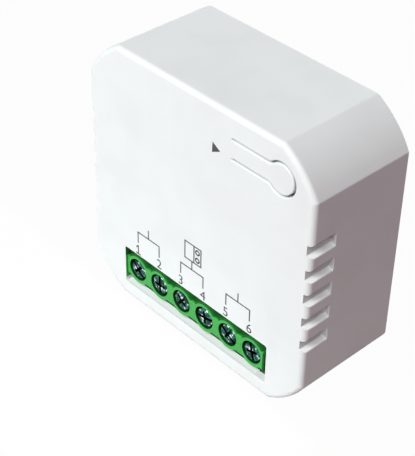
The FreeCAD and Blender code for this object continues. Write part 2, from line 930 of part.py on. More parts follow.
# Relay: a sealed box on a moulded base with its row of pins.

relay_right = row_right
relay_left = relay_right - size.relay_length
relay_low = block_high + tall_gap
relay_high = relay_low + size.relay_width
relay_top = face_inner + size.relay_room
relay_base_top = seat - size.relay_base_depth
relay_inner = size.relay_wall + size.seat_gap

relay_case = new_body("relay_case")
pad(relay_case, "XZ", relay_top, board_face - size.relay_case_stand,
    rectangle(relay_left, relay_right, relay_low, relay_high))
soften(relay_case, "Chamfer", size.relay_bevel,
       lambda edge: runs_along(edge, "y") or lies_at(edge, "y", relay_top))
pocket(relay_case, "XZ", relay_base_top - size.seat_gap, board_face - size.relay_case_stand, rectangle(
    relay_left + size.relay_wall, relay_right - size.relay_wall,
    relay_low + size.relay_wall, relay_high - size.relay_wall))

relay_base = new_body("relay_base")
pad(relay_base, "XZ", relay_base_top, seat, rectangle(
    relay_left + relay_inner, relay_right - relay_inner,
    relay_low + relay_inner, relay_high - relay_inner))

relay_pins = new_body("relay_pins")
relay_left_pin = relay_left + relay_inner + size.relay_pin_inset
relay_right_pin = relay_right - relay_inner - size.relay_pin_inset
relay_low_pin = relay_low + relay_inner + size.relay_pin_inset
relay_high_pin = relay_high - relay_inner - size.relay_pin_inset
relay_middle = relay_low + size.relay_width / 2
pad(relay_pins, "XZ", seat, tail_end, *[
    lead(x, z, size.relay_pin_half)
    for x, z in (
        (relay_left_pin, relay_low_pin), (relay_left_pin, relay_high_pin),
        (relay_right_pin, relay_low_pin), (relay_right_pin, relay_high_pin),
        ((relay_left_pin + relay_right_pin) / 2, relay_middle))])


# Transformer: a bobbin with its winding between two halves of ferrite, and two rows of pins.

bobbin_front = seat - size.bobbin_depth
core_half_width = size.core_width / 2
core_half_length = size.core_length / 2
bobbin_half_width = size.bobbin_width / 2
bobbin_half_length = size.bobbin_length / 2
core_middle = (bobbin_front + seat) / 2
core_front = core_middle - size.core_depth / 2
core_back = core_middle + size.core_depth / 2
wound_half = bobbin_half_length - size.bobbin_flange - size.winding_margin

transformer_bobbin = new_body("transformer_bobbin")
for side in (-1, 1):
    outer = side * bobbin_half_length
    inner = side * (bobbin_half_length - size.bobbin_flange)
    low, high = (outer, inner) if side < 0 else (inner, outer)
    pad(transformer_bobbin, "XY", low, high,
        rectangle(-bobbin_half_width, bobbin_half_width, bobbin_front, seat))
pad(transformer_bobbin, "XY", -bobbin_half_length, bobbin_half_length,
    (0, core_middle, size.winding_post_radius))
place(transformer_bobbin, transformer_side, 0, transformer_middle)

transformer_winding = new_body("transformer_winding")
pad(transformer_winding, "XY", -wound_half, wound_half,
    (0, core_middle, size.winding_radius), (0, core_middle, size.winding_post_radius + size.seat_gap))
place(transformer_winding, transformer_side, 0, transformer_middle)

transformer_core = new_body("transformer_core")
pad(transformer_core, "XY", -core_half_length, core_half_length, *[
    rectangle(side * core_half_width - size.core_leg * (1 + side) / 2,
              side * core_half_width + size.core_leg * (1 - side) / 2, core_front, core_back)
    for side in (-1, 1)])
place(transformer_core, transformer_side, 0, transformer_middle)

transformer_pins = new_body("transformer_pins")
pad(transformer_pins, "XZ", seat, tail_end, *[
    lead(transformer_side + step * size.transformer_pin_pitch,
         transformer_middle + side * (bobbin_half_length - size.bobbin_flange / 2),
         size.transformer_pin_half)
    for side in (-1, 1) for step in (-1, 0, 1)])


# Electrolytic capacitors: sleeved cans, each on the rubber bung that its two leads come through.

def capacitor_can(body, radius, length, places):
    """Round cans that stand on their bungs."""
    pad(body, "XZ", seat - length, seat - size.bung_length, *[(x, z, radius) for x, z in places])


def capacitor_bung(body, radius, places):
    """The rubber seals below the cans."""
    pad(body, "XZ", seat - size.bung_length + size.seat_gap, seat, *[
        (x, z, radius - size.bung_inset) for x, z in places])


def lead_pair(x, z, pitch):
    return [lead(x + side * pitch / 2, z, size.lead_half) for side in (-1, 1)]


bulk_places = [(bulk_side, bulk_low), (bulk_side, bulk_high)]
output_place = (transformer_side, output_height)
bulk_length = seat - face_inner - size.bulk_room

bulk_capacitors = new_body("bulk_capacitors")
capacitor_can(bulk_capacitors, size.bulk_radius, bulk_length, bulk_places)
output_capacitor = new_body("output_capacitor")
capacitor_can(output_capacitor, size.output_radius, size.output_length, [output_place])
capacitor_bungs = new_body("capacitor_bungs")
capacitor_bung(capacitor_bungs, size.bulk_radius, bulk_places)
capacitor_bung(capacitor_bungs, size.output_radius, [output_place])
capacitor_leads = new_body("capacitor_leads")
pad(capacitor_leads, "XZ", seat, tail_end,
    *lead_pair(*bulk_places[0], size.bulk_lead_pitch), *lead_pair(*bulk_places[1], size.bulk_lead_pitch),
    *lead_pair(*output_place, size.output_lead_pitch))


# Mains input: an upright fusible resistor, a varistor disc and a wound drum choke.

resistor_rear = board_face - size.varistor_stand
resistor_front = resistor_rear - size.resistor_length
fuse_resistor = new_body("fuse_resistor")
pad(fuse_resistor, "XZ", resistor_front, resistor_rear,
    (chip_side, resistor_height, size.resistor_radius))

varistor_middle = board_face - size.varistor_stand - size.varistor_radius
varistor_half = size.varistor_thickness / 2
varistor = new_body("varistor")
pad(varistor, "XY", varistor_height - varistor_half, varistor_height + varistor_half,
    (bulk_side, varistor_middle, size.varistor_radius))

choke_front = seat - size.choke_length
choke_core = new_body("choke_core")
revolve(choke_core, "XY", [
    (0, choke_front),
    (size.choke_radius, choke_front),
    (size.choke_radius, choke_front + size.choke_flange),
    (size.choke_post_radius, choke_front + size.choke_flange),
    (size.choke_post_radius, seat - size.choke_flange),
    (size.choke_radius, seat - size.choke_flange),
    (size.choke_radius, seat),
    (0, seat),
])
place(choke_core, choke_side, 0, choke_height)

choke_winding = new_body("choke_winding")
pad(choke_winding, "XZ", choke_front + size.choke_flange + size.seat_gap,
    seat - size.choke_flange - size.seat_gap,
    (choke_side, choke_height, size.choke_winding_radius),
    (choke_side, choke_height, size.choke_post_radius + size.seat_gap))

input_leads = new_body("input_leads")
pad(input_leads, "XZ", resistor_rear, tail_end,
    lead(chip_side, resistor_height, size.lead_half))
pad(input_leads, "XZ", varistor_middle + size.varistor_radius, tail_end,
    *lead_pair(bulk_side, varistor_height, size.varistor_lead_pitch))
pad(input_leads, "XZ", seat, tail_end,
    *lead_pair(choke_side, choke_height, size.choke_lead_pitch))


# Surface parts: moulded packages with bent legs that lie on the board.

def package(label, x, z, width, length, tall):
    """A moulded chip body with bevelled upper edges, resting just off the board."""
    body = new_body(label)
    rear = board_face - size.leg_thickness
    pad(body, "XZ", rear - tall, rear, centred(x, z, width / 2, length / 2))
    soften(body, "Chamfer", size.package_bevel, lambda edge: lies_at(edge, "y", rear - tall))
    return body


def feet(x, z, length, columns, pitch):
    """Outlines of a package's feet: two rows, above and below the body."""
    return [
        rectangle(x + pitch * (number - (columns - 1) / 2) - size.leg_width / 2,
                  x + pitch * (number - (columns - 1) / 2) + size.leg_width / 2,
                  z + side * length / 2 - size.leg_reach * (1 - side) / 2,
                  z + side * length / 2 + size.leg_reach * (1 + side) / 2)
        for side in (-1, 1) for number in range(columns)]


package("bridge_rectifier", bridge_side, chip_height,
        size.bridge_width, size.bridge_length, size.bridge_depth)
package("converter_chip", chip_side, chip_height, size.chip_width, size.chip_length, size.chip_depth)
package("voltage_regulator", size.regulator_side, button_height,
        size.regulator_width, size.regulator_length, size.regulator_depth)

chip_legs = new_body("chip_legs")
pad(chip_legs, "XZ", board_face - size.leg_thickness, board_face,
    *feet(bridge_side, chip_height, size.bridge_length, 2, size.bridge_pitch),
    *feet(chip_side, chip_height, size.chip_length, CHIP_LEGS, size.chip_pitch),
    *feet(size.regulator_side, button_height, size.regulator_length, 3, size.regulator_pitch))


# Radio module: its own small board with a shield can and a printed aerial at the free end.

radio_right = row_right
radio_left = radio_right - size.radio_length
radio_low = relay_high + tall_gap
radio_high = radio_low + size.radio_width
radio_face = seat - size.radio_board_depth
shield_top = radio_face - size.shield_depth
shield_left = radio_left + size.shield_margin
shield_low = radio_low + size.shield_margin
shield_high = radio_high - size.shield_margin
shield_right = shield_left + size.shield_length

radio_board = new_body("radio_board")
pad(radio_board, "XZ", radio_face, seat,
    rectangle(radio_left, radio_right, radio_low, radio_high))

radio_shield = new_body("radio_shield")
pad(radio_shield, "XZ", shield_top, radio_face,
    rectangle(shield_left, shield_right, shield_low, shield_high))
soften(radio_shield, "Chamfer", size.shield_bevel,
       lambda edge: runs_along(edge, "y") or lies_at(edge, "y", shield_top))
pocket(radio_shield, "XZ", shield_top + size.shield_wall, radio_face, rectangle(
    shield_left + size.shield_wall, shield_right - size.shield_wall,
    shield_low + size.shield_wall, shield_high - size.shield_wall))


radio_aerial = new_body("radio_aerial")
for bar in range(AERIAL_BARS):
    x = shield_right + size.shield_margin + size.aerial_pitch * bar
    pad(radio_aerial, "XZ", radio_face - size.aerial_depth, radio_face,
        rectangle(x, x + size.aerial_width, shield_low, shield_high))
    if bar < AERIAL_BARS - 1:
        low = shield_low if bar % 2 else shield_high - size.aerial_width
        pad(radio_aerial, "XZ", radio_face - size.aerial_depth, radio_face,
            rectangle(x + size.aerial_width, x + size.aerial_pitch, low, low + size.aerial_width))


# Main board: one plate that follows the casing's outline, drilled for every lead.

main_board = new_body("main_board")
pad(main_board, "XZ", board_face, board_rear, case_outline(size.side_wall + size.board_gap))
pocket(main_board, "XZ", board_face, board_rear, *[
    centred(x, z, half + size.hole_gap, half + size.hole_gap) for x, z, half in leads])


document.recompute()
for item in document.Objects:
    if "Invalid" in item.State or "Error" in item.State:
        raise RuntimeError(f"{item.Name} failed: {item.State}")
for piece in pieces:
    if piece.Shape.isNull() or not piece.Shape.isValid() or not piece.Shape.Solids:
        raise RuntimeError(f"{piece.Label} has no valid solid")
os.makedirs("parts", exist_ok=True)
for piece in pieces:
    piece.Shape.exportStep(os.path.join("parts", f"{piece.Label}.step"))
print(len(pieces), "pieces,", sum(len(piece.Shape.Solids) for piece in pieces), "solids")
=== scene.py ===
import math

import bmesh
import bpy
from mathutils import Matrix, Vector


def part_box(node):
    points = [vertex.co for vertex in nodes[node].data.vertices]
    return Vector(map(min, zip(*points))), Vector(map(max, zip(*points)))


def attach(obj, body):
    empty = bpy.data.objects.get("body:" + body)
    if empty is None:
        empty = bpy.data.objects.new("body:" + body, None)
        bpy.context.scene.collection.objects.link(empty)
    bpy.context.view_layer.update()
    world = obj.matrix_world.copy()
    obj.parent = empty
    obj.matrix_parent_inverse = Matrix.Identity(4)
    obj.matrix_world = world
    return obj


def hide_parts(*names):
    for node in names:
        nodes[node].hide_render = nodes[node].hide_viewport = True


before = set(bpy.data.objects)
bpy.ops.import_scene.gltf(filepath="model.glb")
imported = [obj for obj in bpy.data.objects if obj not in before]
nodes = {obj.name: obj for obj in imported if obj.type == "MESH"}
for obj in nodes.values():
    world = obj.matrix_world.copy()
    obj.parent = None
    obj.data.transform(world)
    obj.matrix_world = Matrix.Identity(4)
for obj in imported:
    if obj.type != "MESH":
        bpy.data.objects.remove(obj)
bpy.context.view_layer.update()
MM = 0.001


# Main board: one plate of glass-fibre laminate, routed to the casing's outline and drilled.
# Copper areas show as lighter shapes under the green solder mask, and the routed edge is bare.

class Channel:
    """One output of a shader node. Arithmetic on it adds Math nodes to its tree."""

    def __init__(self, shader, socket):
        self.shader = shader
        self.socket = socket

    def math(self, operation, *values):
        return self.shader.node("ShaderNodeMath", {"operation": operation}, dict(enumerate(values)))

    def __add__(self, other):
        return self.math("ADD", self, other)

    def __radd__(self, other):
        return self.math("ADD", other, self)

    def __sub__(self, other):
        return self.math("SUBTRACT", self, other)

    def __rsub__(self, other):
        return self.math("SUBTRACT", other, self)

    def __mul__(self, other):
        return self.math("MULTIPLY", self, other)

    def __rmul__(self, other):
        return self.math("MULTIPLY", other, self)

    def __abs__(self):
        return self.math("ABSOLUTE", self)

    def maximum(self, other):
        return self.math("MAXIMUM", self, other)


class Shader:
    """A node tree to which nodes are added with their settings, values and links."""

    def __init__(self, tree):
        self.tree = tree

    def feed(self, socket, value):
        if isinstance(value, Channel):
            self.tree.links.new(value.socket, socket)
        elif socket.type == "RGBA":
            socket.default_value = (*value, 1)
        else:
            socket.default_value = value

    def node(self, kind, settings, sockets, output=0):
        """Adds a node with its settings first, and then the values or links of its sockets."""
        node = self.tree.nodes.new(kind)
        for name, value in settings.items():
            setattr(node, name, value)
        for name, value in sockets.items():
            self.feed(node.inputs[name], value)
        return Channel(self, node.outputs[output])

    def blend(self, amount, first, second):
        """Goes from the first colour to the second as the amount goes from 0 to 1."""
        sockets = {0: amount, 6: first, 7: second}
        return self.node("ShaderNodeMix", {"data_type": "RGBA"}, sockets, 2)


class Finish(Shader):
    """A procedural material: a Principled surface and the nodes that feed it."""

    def __init__(self, name, colour, roughness, **fixed):
        self.material = bpy.data.materials.new(name)
        self.material.use_nodes = True
        super().__init__(self.material.node_tree)
        self.surface = self.tree.nodes["Principled BSDF"]
        self.set("Base Color", colour)
        self.set("Roughness", roughness)
        for socket, value in fixed.items():
            self.set(socket.replace("_", " ").title().replace("Ior", "IOR"), value)
        self.place = self.node("ShaderNodeTexCoord", {}, {}, "Object")

    def set(self, name, value):
        self.feed(self.surface.inputs[name], value)

    def along(self, axis):
        """The surface point's distance along one of the object's axes, in metres."""
        return self.node("ShaderNodeSeparateXYZ", {}, {"Vector": self.place}, axis)

    def facing(self, axis):
        """How far the surface faces along one of the object's axes, from -1 to 1."""
        normal = self.node("ShaderNodeTexCoord", {}, {}, "Normal")
        return self.node("ShaderNodeSeparateXYZ", {}, {"Vector": normal}, axis)

    def noise(self, size, detail=2.0):
        """Soft noise from 0 to 1 whose blotches are about this many metres across."""
        sockets = {"Vector": self.place, "Scale": 1 / size, "Detail": detail}
        return self.node("ShaderNodeTexNoise", {}, sockets, "Fac")

    def cells(self, size):
        """The distance from the middle of squarish cells about this many metres across."""
        sockets = {"Vector": self.place, "Scale": 1 / size}
        return self.node("ShaderNodeTexVoronoi", {"distance": "MANHATTAN"}, sockets, "Distance")

    def step(self, value, start, end):
        """0 before the start and 1 past the end, with a smooth step between. The end may be lower."""
        sockets = {"Value": value, "From Min": start, "From Max": end}
        return self.node("ShaderNodeMapRange", {"interpolation_type": "SMOOTHSTEP"}, sockets)

    def relief(self, height, depth):
        """Raises the surface by a height of 0 to 1 times this depth in metres."""
        sockets = {"Strength": 1.0, "Distance": depth, "Height": height}
        self.set("Normal", self.node("ShaderNodeBump", {}, sockets, "Normal"))

    def give(self, *names):
        """Puts this finish on CAD nodes."""
        for name in names:
            for slot in nodes[name].material_slots:
                slot.material = self.material


def tinted(colour, share):
    """A colour made lighter or darker by a share."""
    return tuple(min(part * share, 1.0) for part in colour)


MASK_GREEN = (0.015, 0.13, 0.05)
BARE_LAMINATE = (0.42, 0.40, 0.22)
BOARD_COPPER_SIZE = 2.2 * MM
BOARD_COPPER_RELIEF = 0.035 * MM
MASK_FLOW = 0.4 * MM

board_mask = Finish("board_laminate", MASK_GREEN, 0.3)
between_copper = board_mask.step(board_mask.cells(BOARD_COPPER_SIZE), 0.35, 0.42)
masked = board_mask.blend(between_copper, tinted(MASK_GREEN, 1.5), MASK_GREEN)
routed_edge = board_mask.step(abs(board_mask.facing("Y")), 0.9, 0.6)
board_mask.set("Base Color", board_mask.blend(routed_edge, masked, BARE_LAMINATE))
board_mask.set("Roughness", 0.22 + routed_edge * 0.5 + board_mask.noise(MASK_FLOW) * 0.1)
board_mask.relief(1 - between_copper, BOARD_COPPER_RELIEF)
board_mask.give("main_board")


# Leads, pins and feet: drawn copper wire or stamped brass under a plate of dull, bright tin. The
# longer ones pass through the board's holes and are soldered at its back.

TIN_PLATE = (0.72, 0.71, 0.68)
TIN_GRAIN = 0.4 * MM
PLATE_RELIEF = 0.01 * MM


def plated(name, colour, grain):
    """Metal plate: bright, a little uneven, with fine scratches of this size in metres."""
    finish = Finish(name, colour, 0.3, metallic=1.0)
    wear = finish.noise(grain, 4.0)
    finish.set("Base Color", finish.blend(finish.step(wear, 0.3, 0.8), colour, tinted(colour, 0.72)))
    finish.set("Roughness", 0.2 + wear * 0.25)
    finish.relief(wear, PLATE_RELIEF)
    return finish


tin_plate = plated("tinned_brass", TIN_PLATE, TIN_GRAIN)
tin_plate.give("contact_plates", "transformer_pins", "relay_pins", "capacitor_leads", "input_leads",
               "lamp_legs", "chip_legs", "switch_legs")


# Push switch: a black moulded base with its stem, under a cover folded from tinned steel. Relay,
# bobbin and chips are moulded in the same black plastic, and the radio's can is the same sheet.

BLACK_MOULDING = (0.022, 0.022, 0.024)
MOULD_GRAIN = 0.15 * MM
MOULD_RELIEF = 0.006 * MM
SHEET_STEEL = (0.70, 0.69, 0.66)
SHEET_GRAIN = 0.6 * MM

black_plastic = Finish("black_plastic", BLACK_MOULDING, 0.5)
eroded = black_plastic.noise(MOULD_GRAIN, 3.0)
black_plastic.set("Base Color", black_plastic.blend(
    eroded, tinted(BLACK_MOULDING, 0.7), tinted(BLACK_MOULDING, 1.6)))
black_plastic.set("Roughness", 0.42 + eroded * 0.2)
black_plastic.relief(eroded, MOULD_RELIEF)
black_plastic.give("switch_base", "switch_stem", "relay_base", "relay_case", "transformer_bobbin",
                   "bridge_rectifier", "converter_chip", "voltage_regulator")
sheet_steel = plated("bright_steel", SHEET_STEEL, SHEET_GRAIN)
sheet_steel.give("switch_cover", "radio_shield")


# Indicator lamp: a diode cast in clear, faintly blue resin round its legs. The resin is smooth and
# glossy, with a dome towards the front and a rim at its foot.

LAMP_RESIN = (0.55, 0.66, 0.86)
LAMP_SWIRL = 0.8 * MM
LAMP_RIM_WIDTH = 0.2 * MM
LAMP_RIM_HEIGHT = 0.8 * MM
LAMP_RIM_ROUNDING = 0.1 * MM

lamp_resin = Finish("lamp_blue", LAMP_RESIN, 0.1, transmission_weight=0.6, ior=1.5)
swirl = lamp_resin.noise(LAMP_SWIRL)
lamp_resin.set("Base Color", lamp_resin.blend(swirl, LAMP_RESIN, tinted(LAMP_RESIN, 1.1)))
lamp_resin.set("Roughness", 0.06 + swirl * 0.06)


def new_piece(name, mesh, finish, slot, *replaced, body="housing"):
    """A piece made in this script, which rides on a body in place of the named CAD nodes."""
    piece = bpy.data.objects.new(name, mesh)
    bpy.context.scene.collection.objects.link(piece)
    mesh.materials.append(finish.material)
    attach(piece, body)
    if replaced:
        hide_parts(*replaced)
    return piece


def spun(profile, steps=48):
    """A closed shape made by turning a (radius, height) profile about Z."""
    body = bmesh.new()
    rings = []
    for step in range(steps):
        angle = math.tau * step / steps
        rings.append([
            body.verts.new((radius * math.cos(angle), radius * math.sin(angle), height))
            for radius, height in profile])
    for ring, following in zip(rings, rings[1:] + rings[:1]):
        for number in range(len(profile)):
            after = (number + 1) % len(profile)
            body.faces.new((ring[number], following[number], following[after], ring[after]))
    bmesh.ops.remove_doubles(body, verts=body.verts, dist=1e-8)
    return body


def rounded(corners, radius, steps=4):
    """A (radius, height) profile with its inner corners rounded off."""
    profile = [corners[0]]
    for before, corner, after in zip(corners, corners[1:], corners[2:]):
        corner = Vector(corner)
        back = Vector(before) - corner
        ahead = Vector(after) - corner
        reach = min(radius, back.length / 2, ahead.length / 2)
        start = corner + back.normalized() * reach
        end = corner + ahead.normalized() * reach
        for step in range(steps + 1):
            share = step / steps
            near = start.lerp(corner, share)
            profile.append(tuple(near.lerp(corner.lerp(end, share), share)))
    return profile + [corners[-1]]


def as_mesh(body, name, sharp=35):
    """A smooth-shaded mesh whose edges stay crisp above an angle in degrees."""
    bmesh.ops.recalc_face_normals(body, faces=body.faces)
    mesh = bpy.data.meshes.new(name)
    body.to_mesh(mesh)
    body.free()
    for face in mesh.polygons:
        face.use_smooth = True
    mesh.set_sharp_from_angle(angle=math.radians(sharp))
    return mesh


def turned(name, profile, finish, slot, middle, *replaced, axis="Y"):
    """A turned piece whose profile runs from the axis out and back, towards the front or up."""
    piece = new_piece(name, as_mesh(spun(profile), name), finish, slot, *replaced)
    tilt = Matrix.Rotation(math.radians(90), 4, "X") if axis == "Y" else Matrix()
    piece.matrix_world = Matrix.Translation(middle) @ tilt
    return piece


low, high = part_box("indicator_lamp")
rim_radius = (high.x - low.x) / 2
lamp_radius = rim_radius - LAMP_RIM_WIDTH
lamp_height = high.y - low.y
lamp_profile = []
for degrees in range(0, 91, 10):
    angle = math.radians(degrees)
    lamp_profile.append((lamp_radius * math.sin(angle), lamp_height - lamp_radius * (1 - math.cos(angle))))
lamp_profile += rounded(
    [(lamp_radius, LAMP_RIM_HEIGHT), (rim_radius, LAMP_RIM_HEIGHT), (rim_radius, 0)], LAMP_RIM_ROUNDING)
lamp_profile.append((0, 0))
lamp_foot = ((low.x + high.x) / 2, high.y, (low.z + high.z) / 2)
turned("lamp_body", lamp_profile, lamp_resin, "lamp_blue", lamp_foot, "indicator_lamp")


# Transformer: the winding is closed with turns of yellow polyester tape, and two sintered ferrite
# halves go round it. The tape is glossy, and the edges of its layers show at both ends.

TAPE_YELLOW = (0.72, 0.50, 0.05)
TAPE_CREASE = 0.7 * MM
TAPE_RELIEF = 0.03 * MM
TAPE_STEP = 0.08 * MM
TAPE_EDGES = ((5, 0), (4, 1), (1, 2), (1, 6), (0, 7))
POST_RADIUS = 1.7 * MM
FERRITE_GREY = (0.06, 0.06, 0.065)
FERRITE_GRAIN = 0.12 * MM
FERRITE_RELIEF = 0.02 * MM

tape = Finish("winding_tape", TAPE_YELLOW, 0.25, coat_weight=0.4)
crease = tape.noise(TAPE_CREASE, 3.0)
tape.set("Base Color", tape.blend(crease, TAPE_YELLOW, tinted(TAPE_YELLOW, 0.8)))
tape.set("Roughness", 0.2 + crease * 0.15)
tape.relief(crease, TAPE_RELIEF)

ferrite = Finish("ferrite", FERRITE_GREY, 0.6)
sinter = ferrite.noise(FERRITE_GRAIN, 4.0)
ferrite.set("Base Color", ferrite.blend(sinter, tinted(FERRITE_GREY, 0.6), tinted(FERRITE_GREY, 1.7)))
ferrite.set("Roughness", 0.5 + sinter * 0.25)
ferrite.relief(sinter, FERRITE_RELIEF)
ferrite.give("transformer_core", "choke_core")

low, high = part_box("transformer_winding")
tape_radius = (high.x - low.x) / 2
tape_half = (high.z - low.z) / 2
lower_end = [(POST_RADIUS, -tape_half)]
for inward, upward in TAPE_EDGES:
    lower_end.append((tape_radius - inward * TAPE_STEP, -tape_half + upward * TAPE_STEP))
upper_end = [(radius, -height) for radius, height in reversed(lower_end)]
wrapped = as_mesh(spun(lower_end + upper_end, 64), "transformer_tape")
piece = new_piece("transformer_tape", wrapped, tape, "winding_tape", "transformer_winding")
piece.location = (low + high) / 2


# Choke: enamelled copper wire, close-wound in two layers on a drum of sintered ferrite. The enamel
# is clear and glossy, and the copper under it has darkened in places.

ENAMELLED_COPPER = (0.55, 0.24, 0.10)
TARNISH_SIZE = 0.5 * MM
WIRE_RADIUS = 0.25 * MM
WIRE_LAYERS = 2

copper = Finish("copper_wire", ENAMELLED_COPPER, 0.25, metallic=1.0, coat_weight=0.5)
tarnish = copper.noise(TARNISH_SIZE, 3.0)
copper.set("Base Color", copper.blend(tarnish, ENAMELLED_COPPER, tinted(ENAMELLED_COPPER, 0.7)))
copper.set("Roughness", 0.2 + tarnish * 0.15)
copper.give("radio_aerial")


def wound_wire(body, radius, length, wire, sides=8, steps=28):
    """Adds one layer of a close-wound wire round Z, as a tube along a helix with closed ends."""
    turns = length / (2 * wire) - 1
    count = int(turns * steps)
    rings = []
    for number in range(count + 1):
        angle = math.tau * number / steps
        rise = 2 * wire * angle / math.tau - turns * wire
        out = Vector((math.cos(angle), math.sin(angle), 0))
        rings.append([
            body.verts.new(out * (radius + wire * math.cos(math.tau * side / sides))
                           + Vector((0, 0, rise + wire * math.sin(math.tau * side / sides))))
            for side in range(sides)])
    for ring, following in zip(rings, rings[1:]):
        for side in range(sides):
            after = (side + 1) % sides
            body.faces.new((ring[side], following[side], following[after], ring[after]))
    body.faces.new(rings[0])
    body.faces.new(rings[-1])


low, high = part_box("choke_winding")
coil_radius = (high.x - low.x) / 2
coil = bmesh.new()
for layer in range(WIRE_LAYERS):
    wound_wire(coil, coil_radius - WIRE_RADIUS * (1 + 2 * layer), high.y - low.y, WIRE_RADIUS)
piece = new_piece("choke_coil", as_mesh(coil, "choke_coil"), copper, "copper_wire", "choke_winding")
piece.matrix_world = Matrix.Translation((low + high) / 2) @ Matrix.Rotation(math.radians(90), 4, "X")


# Electrolytic capacitors: aluminium cans in a shrunk dark-blue sleeve with a pale stripe on the
# negative side. Their bare tops are pressed in a little, and rubber bungs close them.

SLEEVE_BLUE = (0.03, 0.045, 0.12)
SLEEVE_STRIPE = (0.55, 0.57, 0.60)
BARE_ALUMINIUM = (0.72, 0.72, 0.73)
SLEEVE_WRINKLE = 1.2 * MM
SLEEVE_RELIEF = 0.02 * MM
STRIPE_EDGE = -2.3 * MM
STRIPE_BLUR = 0.1 * MM
CAN_LIP = 0.12 * MM
CAN_ROUNDING = 0.35 * MM
CRIMP_HEIGHT = 0.14
BUNG_BLACK = (0.03, 0.03, 0.03)
BUNG_GRAIN = 0.3 * MM
BUNG_RELIEF = 0.015 * MM

sleeve = Finish("capacitor_sleeve", SLEEVE_BLUE, 0.3)
shrink = sleeve.noise(SLEEVE_WRINKLE)
stripe = sleeve.step(sleeve.along("X"), STRIPE_EDGE, STRIPE_EDGE - STRIPE_BLUR)
bare_top = sleeve.step(sleeve.facing("Z"), 0.9, 0.97)
sleeved = sleeve.blend(stripe, SLEEVE_BLUE, SLEEVE_STRIPE)
sleeve.set("Base Color", sleeve.blend(bare_top, sleeved, BARE_ALUMINIUM))
sleeve.set("Metallic", bare_top)
sleeve.set("Roughness", 0.25 + shrink * 0.15)
sleeve.relief(shrink, SLEEVE_RELIEF)


def can(name, node, at_top=False):
    """A can with a crimp above its seal, at the lower or the upper end of a node's box."""
    low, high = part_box(node)
    radius = (high.x - low.x) / 2
    length = high.y - low.y
    crimp = length * CRIMP_HEIGHT
    profile = rounded([
        (0, length - CAN_LIP), (radius * 0.8, length - CAN_LIP), (radius * 0.82, length), (radius, length),
        (radius, crimp * 1.6), (radius * 0.9, crimp * 1.15), (radius, crimp * 0.7), (radius, 0), (0, 0)],
        CAN_ROUNDING)
    foot = (low.x + radius, high.y, high.z - radius if at_top else low.z + radius)
    turned(name, profile, sleeve, "capacitor_sleeve", foot, node)


can("bulk_can_low", "bulk_capacitors")
can("bulk_can_high", "bulk_capacitors", at_top=True)
can("output_can", "output_capacitor")

bung = Finish("bung_rubber", BUNG_BLACK, 0.75)
bloom = bung.noise(BUNG_GRAIN, 3.0)
bung.set("Base Color", bung.blend(bloom, BUNG_BLACK, tinted(BUNG_BLACK, 1.8)))
bung.relief(bloom, BUNG_RELIEF)
bung.give("capacitor_bungs")


# Fusible resistor and varistor: the resistor has a matt green cement coat with four colour bands,
# and the varistor a thick, glossy dip of blue epoxy.

CEMENT_GREEN = (0.12, 0.24, 0.14)
BAND_COLOURS = ((0.05, 0.03, 0.02), (0.30, 0.04, 0.02), (0.30, 0.16, 0.02), (0.40, 0.30, 0.10))
BAND_WIDTH = 0.7 * MM
CEMENT_GRIT = 0.25 * MM
CEMENT_RELIEF = 0.03 * MM
CEMENT_ROUNDING = 0.5 * MM
EPOXY_BLUE = (0.03, 0.09, 0.34)
EPOXY_FLOW = 1.5 * MM
EPOXY_RELIEF = 0.12 * MM
EPOXY_ROUNDING = 1.3 * MM

cement = Finish("resistor_coat", CEMENT_GREEN, 0.65)
grit = cement.noise(CEMENT_GRIT, 4.0)
coat = cement.blend(grit, tinted(CEMENT_GREEN, 0.8), tinted(CEMENT_GREEN, 1.2))
low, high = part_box("fuse_resistor")
length = high.y - low.y
for number, shade in enumerate(BAND_COLOURS, start=1):
    from_band = abs(cement.along("Z") - length * number / (len(BAND_COLOURS) + 1))
    on_band = cement.step(from_band, BAND_WIDTH * 0.55, BAND_WIDTH * 0.45)
    coat = cement.blend(on_band, coat, shade)
cement.set("Base Color", coat)
cement.relief(grit, CEMENT_RELIEF)
radius = (high.x - low.x) / 2
dumbbell = rounded([
    (0, length), (radius * 0.7, length), (radius, length * 0.95), (radius, length * 0.8),
    (radius * 0.9, length * 0.72), (radius * 0.9, length * 0.28), (radius, length * 0.2),
    (radius, length * 0.05), (radius * 0.7, 0), (0, 0)], CEMENT_ROUNDING)
turned("resistor_body", dumbbell, cement, "resistor_coat",
       (low.x + radius, high.y, low.z + radius), "fuse_resistor")

epoxy = Finish("varistor_coat", EPOXY_BLUE, 0.25, coat_weight=0.5)
flow = epoxy.noise(EPOXY_FLOW)
epoxy.set("Base Color", epoxy.blend(flow, EPOXY_BLUE, tinted(EPOXY_BLUE, 1.4)))
epoxy.set("Roughness", 0.18 + flow * 0.12)
epoxy.relief(flow, EPOXY_RELIEF)
low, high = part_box("varistor")
radius = (high.x - low.x) / 2
height = high.z - low.z
dipped = rounded([(0, height), (radius, height), (radius, 0), (0, 0)], EPOXY_ROUNDING, 6)
turned("varistor_disc", dipped, epoxy, "varistor_coat",
       (low.x + radius, low.y + radius, low.z), "varistor", axis="Z")


# Radio module: a small board of laminate under a dark blue mask, soldered flat onto the main one.
# Its tinned can covers the chips, and its aerial is a track of bare copper.

MASK_BLUE = (0.012, 0.022, 0.07)
RADIO_COPPER_SIZE = 1.2 * MM
RADIO_COPPER_RELIEF = 0.03 * MM

radio_mask = Finish("board_laminate_dark", MASK_BLUE, 0.3)
between_copper = radio_mask.step(radio_mask.cells(RADIO_COPPER_SIZE), 0.35, 0.42)
radio_mask.set("Base Color", radio_mask.blend(between_copper, tinted(MASK_BLUE, 1.7), MASK_BLUE))
radio_mask.set("Roughness", 0.25 + radio_mask.noise(MASK_FLOW) * 0.15)
radio_mask.relief(1 - between_copper, RADIO_COPPER_RELIEF)
radio_mask.give("radio_board")


